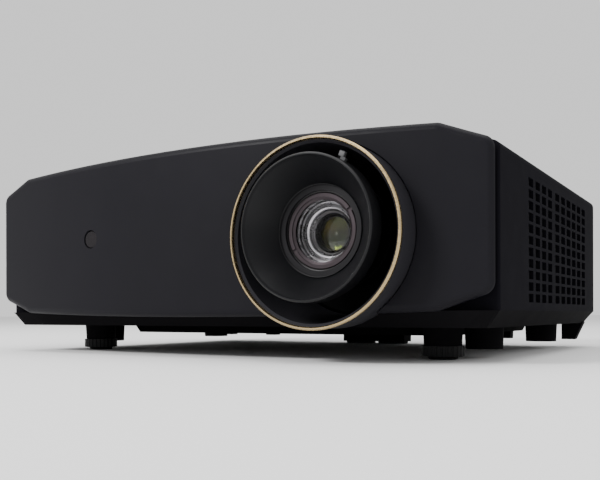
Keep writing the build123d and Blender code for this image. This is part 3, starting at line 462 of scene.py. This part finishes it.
def flat_sockets():
    """The video, network and USB sockets' insides."""
    for index, across in enumerate(VIDEO_X):
        mouth = socket_point(across, VIDEO_HIGH)
        tongue(f"video_tongue_{index}", mouth, 5.6, (-8.9, -1.6), (-0.2, 1.0), shades["socket_black"], 0.25)
        contacts(f"video_contact_{index}", mouth, 9, 1.1, 0.2, (-8.7, -2.0), (-0.32, -0.15), 0.04)
    contacts("lan_contact", socket_point(LAN_X, LAN_HIGH), 8, 1.02, 0.22, (-9.6, -2.4), (2.6, 3.0), 0.06)
    mouth = socket_point(USB_X, USB_HIGH)
    tongue("usb_tongue", mouth, 5.3, (-9.3, -1.5), (0.2, 2.0), shades["ivory"], 0.3)
    contacts("usb_contact", mouth, 4, 2.3, 0.5, (-9.0, -2.2), (0.05, 0.3), 0.06)


def serial_socket():
    """The serial socket's carrier with two rows of contacts, and a hexagon nut on each side."""
    mouth = from_point(socket_point(SERIAL_X, SERIAL_HIGH), 0, SERIAL_PROUD, 0)
    tongue("serial_carrier", mouth, 8.6, (-0.3, 0.5), (-3.9, 3.9), shades["ivory"], 0.35)
    for row, (count, up) in enumerate(((5, 1.42), (4, -1.42))):
        for pin in range(count):
            across = (pin - (count - 1) / 2) * 2.77
            low, high = from_point(mouth, across, 0.2, up), from_point(mouth, across, 0.62, up)
            rod_piece(f"serial_hole_{row}_{pin}", low, high, 0.55 * MM, "chassis", shades["contact"])
    for index, across in enumerate((-11.0, 11.0)):
        low, high = from_point(mouth, across, -0.4, 0), from_point(mouth, across, 1.2, 0)
        rod_piece(f"serial_nut_{index}", low, high, 1.3 * MM, "chassis", shades["steel"], sides=6)


def jack_collars():
    """A plated collar round each jack."""
    section = [(-1.0, 1.8), (0.3, 1.8), (0.5, 2.0), (0.5, 2.9), (0.2, 3.1), (-1.0, 3.1)]
    profile = [(SOCKET_FACE + depth * MM, radius * MM) for depth, radius in section]
    for index, across in enumerate(JACK_X):
        centre = Vector(socket_point(across, JACK_HIGH))
        turned_piece(f"jack_collar_{index}", centre, profile, "chassis", shades["steel"], steps=48)


lens_details()
flat_sockets()
serial_socket()
jack_collars()


# ------------------------------------------------------------------ camera, floor and light
EYE_X = 0.3238                 # where the viewer stands, from the object's middle line
EYE_AHEAD = 0.4109             # in front of the fascia
EYE_HIGH = 0.0293
TURN = radians(32.123)
TILT = radians(-0.14)
LENS = 46.35
SHIFT_X, SHIFT_Y = 0.05, 0.12375

camera_data = bpy.data.cameras.new("camera")
camera = bpy.data.objects.new("camera", camera_data)
bpy.context.scene.collection.objects.link(camera)
camera_data.lens = LENS
camera_data.sensor_width = 36.0
camera_data.shift_x = SHIFT_X
camera_data.shift_y = SHIFT_Y
camera_data.clip_start = 0.01
camera.matrix_world = (
    Matrix.Translation((EYE_X, front_y - EYE_AHEAD, EYE_HIGH))
    @ Matrix.Rotation(TURN, 4, "Z") @ Matrix.Rotation(pi / 2, 4, "X") @ Matrix.Rotation(TILT, 4, "Z")
)
bpy.context.scene.camera = camera


FLOOR_RADIUS = 14.0
FLOOR_BELOW = 0.2 * MM         # the feet stand just clear of the floor


def studio_floor():
    """A wide, plain, pale floor."""
    mesh = bpy.data.meshes.new("floor")
    build = bmesh.new()
    bmesh.ops.create_circle(build, cap_ends=True, radius=FLOOR_RADIUS, segments=96)
    build.to_mesh(mesh)
    build.free()
    made = Shade("pale_floor", (0.86, 0.86, 0.86), 0.9, Specular_IOR_Level=0.0)
    made.tint(made.noise(0.5, 2.0), (0.84, 0.84, 0.84))
    mesh.materials.append(made.material)
    floor = bpy.data.objects.new("floor", mesh)
    floor.location.z = -FLOOR_BELOW
    bpy.context.scene.collection.objects.link(floor)


def soft_box(name, place, aim, size, power):
    """A rectangular white light at place, turned towards aim."""
    light = bpy.data.lights.new(name, "AREA")
    light.shape = "RECTANGLE"
    light.size, light.size_y = size
    light.energy = power
    item = bpy.data.objects.new(name, light)
    item.location = place
    item.rotation_euler = (Vector(aim) - Vector(place)).to_track_quat("-Z", "Y").to_euler()
    bpy.context.scene.collection.objects.link(item)


studio_floor()
soft_box("top_light", (0.0, -0.1, 1.9), (0, 0, 0), (2.2, 1.6), 26)
soft_box("key_light", (-0.86, -1.76, 1.32), (0.02, -0.1, 0.08), (0.7, 0.5), 46)
soft_box("side_light", (1.9, 0.3, 1.1), (0.15, 0.1, 0.08), (0.8, 0.8), 5)

world = bpy.data.worlds.new("studio")
bpy.context.scene.world = world
world.use_nodes = True
world.node_tree.nodes["Background"].inputs["Color"].default_value = (1.0, 1.0, 1.0, 1.0)
world.node_tree.nodes["Background"].inputs["Strength"].default_value = 1.0
